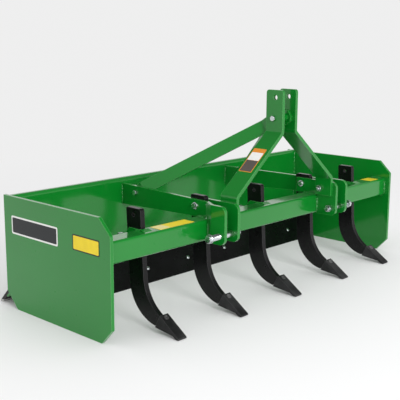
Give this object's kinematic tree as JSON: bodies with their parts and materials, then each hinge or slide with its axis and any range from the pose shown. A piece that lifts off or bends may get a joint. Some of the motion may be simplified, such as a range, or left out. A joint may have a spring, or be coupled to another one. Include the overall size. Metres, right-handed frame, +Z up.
{
  "type": "tractor box blade",
  "caption": "Three-point-hitch box blade: end plates, curved ripper shanks that slide in a square tool bar, fixed front and rear cutting edges, A-frame mast",
  "frame": {"origin": "on the floor, under the middle of the box blade's overall length and width", "axes": "+Z up, -Y towards the tractor (the hitch side), +X across the working width, to the right as the hitch side is faced from the rear"},
  "size_m": [1.676, 0.772, 0.784],
  "materials": {
    "green_paint": "gloss",
    "black_steel": "semi-gloss",
    "zinc": "zinc plated"
  },
  "bodies": {
    "blade_frame": {"brace_bolt_left": "zinc", "brace_bolt_right": "zinc", "brace_left": "green_paint", "brace_right": "green_paint", "cutting_edge_front": "black_steel", "cutting_edge_rear": "black_steel", "end_plate_left": "green_paint", "end_plate_right": "green_paint", "hitch_arm_left": "green_paint", "hitch_arm_right": "green_paint", "hitch_pin_left": "zinc", "hitch_pin_right": "zinc", "hitch_plate_left": "green_paint", "hitch_plate_right": "green_paint", "mast_bolt": "zinc", "mast_spacer": "green_paint", "mast_strap_left": "green_paint", "mast_strap_right": "green_paint", "moldboard": "green_paint", "pocket_1": "green_paint", "pocket_2": "green_paint", "pocket_3": "green_paint", "pocket_4": "green_paint", "pocket_5": "green_paint", "rear_edge_carrier": "green_paint", "set_bolt_1": "zinc", "set_bolt_2": "zinc", "set_bolt_3": "zinc", "set_bolt_4": "zinc", "set_bolt_5": "zinc", "strap_bolt_left": "zinc", "strap_bolt_right": "zinc", "tool_bar": "green_paint"},
    "shank_1_body": {"shank_1": "black_steel", "point_1": "black_steel"},
    "shank_2_body": {"shank_2": "black_steel", "point_2": "black_steel"},
    "shank_3_body": {"shank_3": "black_steel", "point_3": "black_steel"},
    "shank_4_body": {"shank_4": "black_steel", "point_4": "black_steel"},
    "shank_5_body": {"shank_5": "black_steel", "point_5": "black_steel"}
  },
  "joints": [
    {"name": "shank_1_height", "type": "slide", "parent": "blade_frame", "child": "shank_1_body", "axis": [0, 0.0558, 0.9984], "range_m": [-0.033, 0.06]},
    {"name": "shank_2_height", "type": "slide", "parent": "blade_frame", "child": "shank_2_body", "axis": [0, 0.0558, 0.9984], "range_m": [-0.033, 0.06]},
    {"name": "shank_3_height", "type": "slide", "parent": "blade_frame", "child": "shank_3_body", "axis": [0, 0.0558, 0.9984], "range_m": [-0.033, 0.06]},
    {"name": "shank_4_height", "type": "slide", "parent": "blade_frame", "child": "shank_4_body", "axis": [0, 0.0558, 0.9984], "range_m": [-0.033, 0.06]},
    {"name": "shank_5_height", "type": "slide", "parent": "blade_frame", "child": "shank_5_body", "axis": [0, 0.0558, 0.9984], "range_m": [-0.033, 0.06]}
  ]
}
